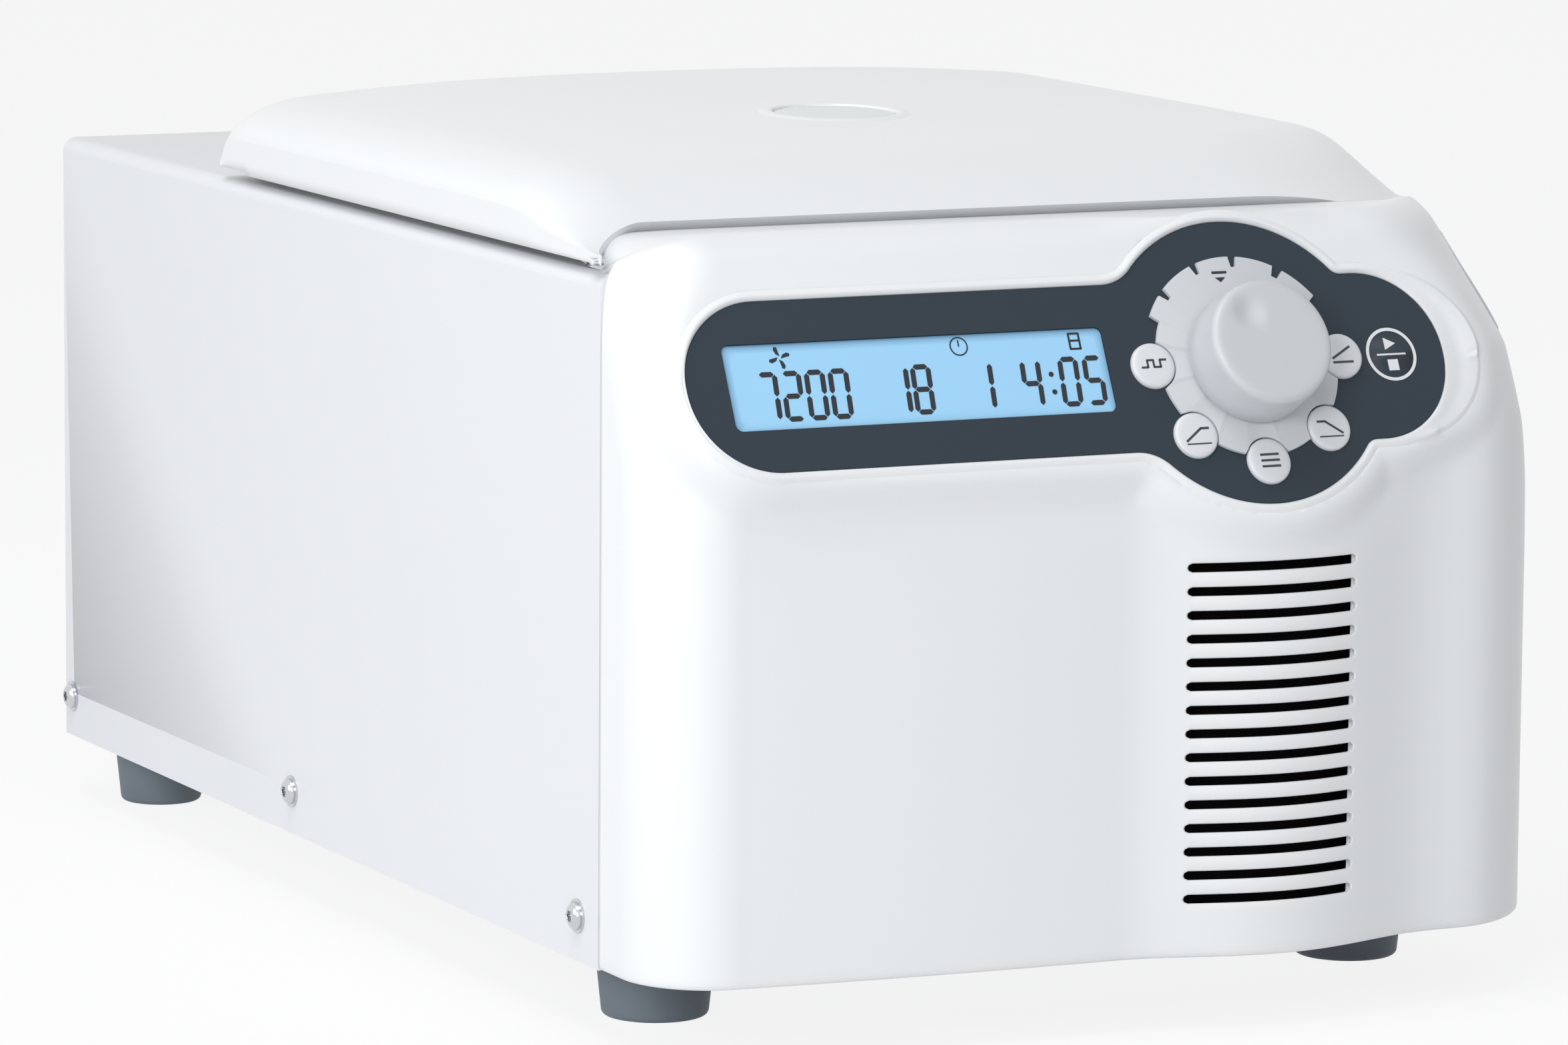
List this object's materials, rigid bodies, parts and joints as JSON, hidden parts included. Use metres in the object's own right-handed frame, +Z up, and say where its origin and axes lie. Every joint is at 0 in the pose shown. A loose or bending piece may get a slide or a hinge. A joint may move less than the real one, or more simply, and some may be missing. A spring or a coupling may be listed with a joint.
{
  "type": "refrigerated centrifuge",
  "caption": "Benchtop refrigerated centrifuge with a hinged lid, rounded front with vent column, slate control panel with display, dial and round keys.",
  "frame": {"origin": "centre of the box round the whole machine, on the plane the feet stand on", "axes": "+X to the machine's right as seen from the front, +Y from the front to the back, +Z up"},
  "size_m": [0.3384, 0.561, 0.2826],
  "materials": {
    "painted_sheet": "smooth light grey paint",
    "white_moulding": "satin white moulding",
    "lid_moulding": "satin white moulding",
    "film_slate": "slate film with a fine grain",
    "display_window": "clear window over a lit blue display",
    "display_module": "blue display glass and frame",
    "knob_grey": "satin silver grey",
    "key_grey": "satin light grey",
    "dial_light": "light grey print",
    "board_green": "solder resist",
    "black_plastic": "black moulding",
    "rubber_dark": "dark grey rubber",
    "chrome_steel": "bright plated steel",
    "zinc_steel": "zinc plated steel",
    "stainless": "brushed stainless steel",
    "anodised": "anodised aluminium",
    "cast_alloy": "cast aluminium",
    "can_black": "black enamel",
    "copper_tube": "copper tube",
    "foam": "rigid foam",
    "clear_port": "clear moulding",
    "gasket_grey": "soft grey rubber"
  },
  "bodies": {
    "cabinet": {"cabinet_cover": "painted_sheet", "rear_panel": "painted_sheet", "base_plate": "zinc_steel", "front_fascia": "white_moulding", "top_deck": "white_moulding", "control_overlay": "film_slate", "lcd_window": "display_window", "lcd_module": "display_module", "control_board": "board_green", "key_switches": "black_plastic", "dial_plate": "dial_light", "encoder_body": "black_plastic", "side_screws": "chrome_steel", "screw_washers": "chrome_steel", "rear_screws": "zinc_steel", "front_feet": "rubber_dark", "rear_feet": "rubber_dark", "chamber_bowl": "stainless", "chamber_insulation": "foam", "evaporator_coil": "copper_tube", "bowl_gasket": "gasket_grey", "motor_housing": "cast_alloy", "motor_bearings": "chrome_steel", "motor_mount_plate": "zinc_steel", "vibration_dampers": "rubber_dark", "latch_housing": "black_plastic", "hinge_brackets": "zinc_steel", "hinge_pins": "chrome_steel", "rear_grille": "chrome_steel", "fan_frame": "black_plastic", "condenser_core": "cast_alloy", "condenser_stand": "zinc_steel", "compressor": "can_black", "compressor_feet": "rubber_dark", "filter_drier": "copper_tube", "power_inlet": "black_plastic", "switch_bezel": "black_plastic", "power_board": "board_green"},
    "lid": {"lid_shell": "lid_moulding", "sight_port": "clear_port", "lid_liner": "white_moulding", "latch_hooks": "stainless", "lid_knuckles": "zinc_steel"},
    "rotor_unit": {"drive_shaft": "stainless", "rotor": "anodised", "rotor_lid": "anodised", "rotor_nut": "anodised"},
    "fan": {"condenser_fan": "black_plastic"},
    "dial_shaft": {"encoder_shaft": "anodised"},
    "dial": {"dial_knob": "knob_grey"},
    "latch": {"latch_slider": "zinc_steel"},
    "switch_rocker": {"power_rocker": "black_plastic"},
    "fuse_tray": {"fuse_drawer": "black_plastic"},
    "start_stop": {"start_stop_button": "film_slate"},
    "pulse_key": {"pulse_button": "key_grey"},
    "accelerate_key": {"accelerate_button": "key_grey"},
    "preset_key": {"preset_button": "key_grey"},
    "brake_key": {"brake_button": "key_grey"},
    "lid_key": {"lid_button": "key_grey"}
  },
  "joints": [
    {"name": "lid_hinge", "type": "hinge", "parent": "cabinet", "child": "lid", "pos_m": [0, 0.11019, 0.2565], "axis": [-1, 0, 0], "range_deg": [0, 75]},
    {"name": "rotor_spin", "type": "hinge", "parent": "cabinet", "child": "rotor_unit", "pos_m": [0, -0.03801, 0.15], "axis": [0, 0, 1], "continuous": true},
    {"name": "fan_spin", "type": "hinge", "parent": "cabinet", "child": "fan", "pos_m": [-0.062, 0.26, 0.142], "axis": [0, 1, 0], "continuous": true},
    {"name": "dial_push", "type": "slide", "parent": "cabinet", "child": "dial_shaft", "axis": [0, 0.891, -0.454], "range_m": [0, 0.0008], "stiffness_N_per_m": 3000},
    {"name": "dial_turn", "type": "hinge", "parent": "dial_shaft", "child": "dial", "pos_m": [0.045, -0.25291, 0.2152], "axis": [0, -0.891, 0.454], "continuous": true},
    {"name": "latch_slide", "type": "slide", "parent": "cabinet", "child": "latch", "axis": [0, -1, 0], "range_m": [0, 0.005], "stiffness_N_per_m": 200},
    {"name": "rocker_tilt", "type": "hinge", "parent": "cabinet", "child": "switch_rocker", "pos_m": [0.108, 0.27149, 0.12], "axis": [1, 0, 0], "range_deg": [-10, 10]},
    {"name": "fuse_tray_pull", "type": "slide", "parent": "cabinet", "child": "fuse_tray", "axis": [0, 1, 0], "range_m": [0, 0.012]},
    {"name": "start_stop_press", "type": "slide", "parent": "cabinet", "child": "start_stop", "axis": [0, 0.891, -0.454], "range_m": [0, 0.0005], "stiffness_N_per_m": 2000},
    {"name": "pulse_key_press", "type": "slide", "parent": "cabinet", "child": "pulse_key", "axis": [0, 0.891, -0.454], "range_m": [0, 0.0007], "stiffness_N_per_m": 2000},
    {"name": "accelerate_key_press", "type": "slide", "parent": "cabinet", "child": "accelerate_key", "axis": [0, 0.891, -0.454], "range_m": [0, 0.0007], "stiffness_N_per_m": 2000},
    {"name": "preset_key_press", "type": "slide", "parent": "cabinet", "child": "preset_key", "axis": [0, 0.891, -0.454], "range_m": [0, 0.0007], "stiffness_N_per_m": 2000},
    {"name": "brake_key_press", "type": "slide", "parent": "cabinet", "child": "brake_key", "axis": [0, 0.891, -0.454], "range_m": [0, 0.0007], "stiffness_N_per_m": 2000},
    {"name": "lid_key_press", "type": "slide", "parent": "cabinet", "child": "lid_key", "axis": [0, 0.891, -0.454], "range_m": [0, 0.0007], "stiffness_N_per_m": 2000}
  ]
}
